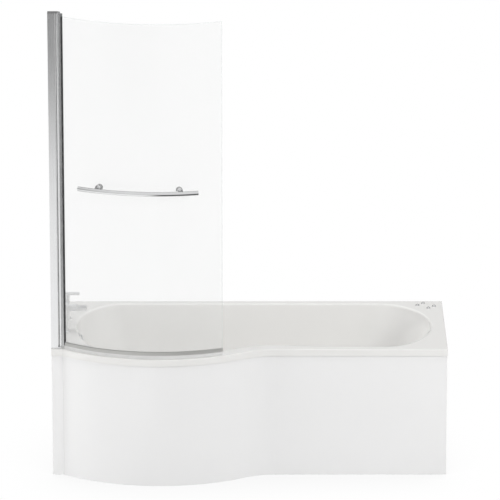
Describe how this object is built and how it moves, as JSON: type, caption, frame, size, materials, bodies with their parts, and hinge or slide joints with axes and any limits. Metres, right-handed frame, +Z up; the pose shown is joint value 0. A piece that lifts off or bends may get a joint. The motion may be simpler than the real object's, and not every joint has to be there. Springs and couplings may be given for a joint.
{
  "type": "p-shaped shower bath",
  "caption": "Bath with a bowed shower end and curved front panel, on a steel leg frame, with bath filler, pop-up waste, overflow and a curved glass screen that swings.",
  "frame": {"origin": "on the floor, under the middle of the whole outline (bath, screen and towel rail)", "axes": "+Z up from the floor; +Y towards the wall that the long side stands against; +X along the bath from the tap wall to the head end"},
  "size_m": [1.7, 0.8964, 2.05],
  "materials": {
    "acrylic": "gloss white",
    "chrome": "polished",
    "satin_aluminium": "satin anodised",
    "zinc_steel": "zinc plated",
    "brass": "plain turned",
    "timber": "sawn softwood",
    "chipboard": "pressed board sealed in resin",
    "black_plastic": "moulded",
    "white_plastic": "moulded",
    "rubber": "soft, plain",
    "clear_seal": "soft, translucent",
    "glass": "clear, toughened, polished edges"
  },
  "bodies": {
    "bath": {"bath_shell": "acrylic", "baseboard": "chipboard", "rim_rail": "timber", "cradle_bars": "zinc_steel", "cradle_screws": "zinc_steel", "threaded_legs": "zinc_steel", "leg_nuts": "zinc_steel", "feet": "black_plastic", "wall_brackets": "zinc_steel", "bracket_screws": "zinc_steel", "front_panel": "acrylic", "floor_batten": "timber", "panel_blocks": "timber", "waste_flange": "chrome", "waste_gasket": "rubber", "waste_body": "black_plastic", "overflow_plate": "chrome", "overflow_body": "black_plastic", "overflow_gasket": "rubber", "overflow_hose": "white_plastic", "lift_cable": "black_plastic", "trap": "white_plastic", "trap_nut": "white_plastic", "outlet_nut": "white_plastic", "tap_body": "chrome", "tap_flanges": "chrome", "tap_valves": "brass", "spout_outlet": "white_plastic", "tap_tails": "brass", "tap_washers": "rubber", "tap_backnuts": "brass", "deck_studs": "chrome", "wall_channel": "satin_aluminium", "adjusting_profile": "satin_aluminium", "adjusting_screws": "zinc_steel", "top_cap": "chrome", "bottom_block": "chrome", "pivot_pins": "zinc_steel"},
    "screen": {"pivot_post": "chrome", "pivot_bushes": "white_plastic", "glass_gasket": "clear_seal", "glass": "glass", "bottom_rail": "satin_aluminium", "bottom_seal": "clear_seal", "towel_rail": "chrome", "rail_standoffs": "chrome", "rail_bolts": "zinc_steel", "rail_back_discs": "chrome", "rail_washers": "clear_seal"},
    "hot_tap": {"hot_lever": "chrome", "hot_spindle": "brass"},
    "cold_tap": {"cold_lever": "chrome", "cold_spindle": "brass"},
    "overflow_control": {"overflow_knob": "chrome"},
    "pop_up_plug": {"plug": "chrome", "plug_seal": "rubber"}
  },
  "joints": [
    {"name": "screen_swing", "type": "hinge", "parent": "bath", "child": "screen", "pos_m": [-0.808, -0.22469, 1.24], "axis": [0, 0, 1], "range_deg": [-40, 80]},
    {"name": "hot_tap_turn", "type": "hinge", "parent": "bath", "child": "hot_tap", "pos_m": [-0.798, 0.00825, 0.68], "axis": [0, 0, -1], "range_deg": [0, 90]},
    {"name": "cold_tap_turn", "type": "hinge", "parent": "bath", "child": "cold_tap", "pos_m": [-0.798, 0.18825, 0.68], "axis": [0, 0, 1], "range_deg": [0, 90]},
    {"name": "overflow_control_turn", "type": "hinge", "parent": "bath", "child": "overflow_control", "pos_m": [-0.74483, 0.09825, 0.498], "axis": [0.9934, 0, 0.1146], "range_deg": [0, 90]},
    {"name": "plug_lift", "type": "slide", "parent": "bath", "child": "pop_up_plug", "axis": [0, 0, 1], "range_m": [0, 0.009]}
  ],
  "couplings": [
    {"joint": "plug_lift", "follows": "overflow_control_turn", "m_per_rad": 0.0057}
  ]
}
